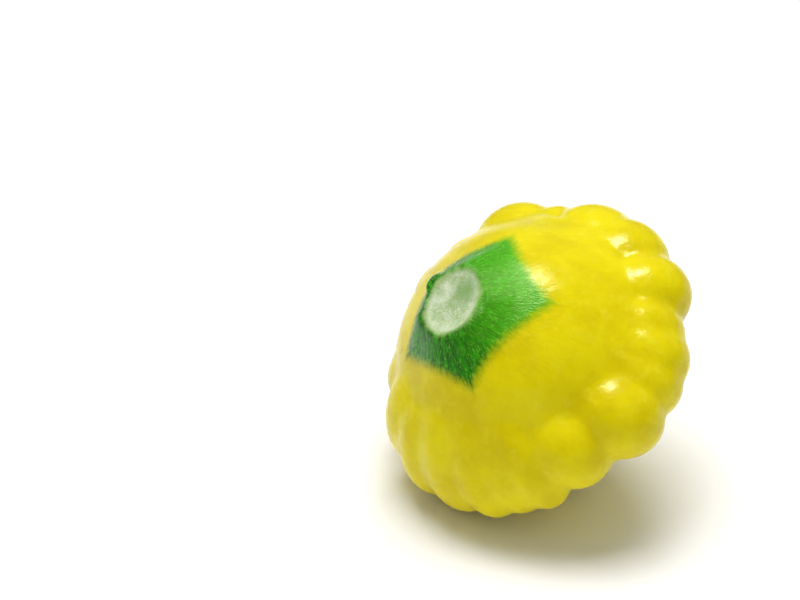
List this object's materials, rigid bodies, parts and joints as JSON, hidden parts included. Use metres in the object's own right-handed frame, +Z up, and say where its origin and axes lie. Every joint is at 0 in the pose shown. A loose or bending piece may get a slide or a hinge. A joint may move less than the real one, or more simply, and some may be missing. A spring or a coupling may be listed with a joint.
{
  "type": "pattypan squash",
  "caption": "Whole baby pattypan squash lying on its rim: cone-shaped flank with a cut stem scar, knuckle-like lobes round the rim and a deep round blossom end.",
  "frame": {"origin": "middle of the bounding box's bottom, on the surface that the squash lies on", "axes": "+Z up from the surface; -Y towards the viewer of the picture; the stem end points up, to -X and to -Y"},
  "size_m": [0.0702, 0.0708, 0.0642],
  "materials": {
    "skin": "smooth waxy yellow skin, glossy, with a green five-cornered cap round the pale cut stem"
  },
  "bodies": {
    "root": {"pattypan_squash": "skin"}
  },
  "joints": []
}
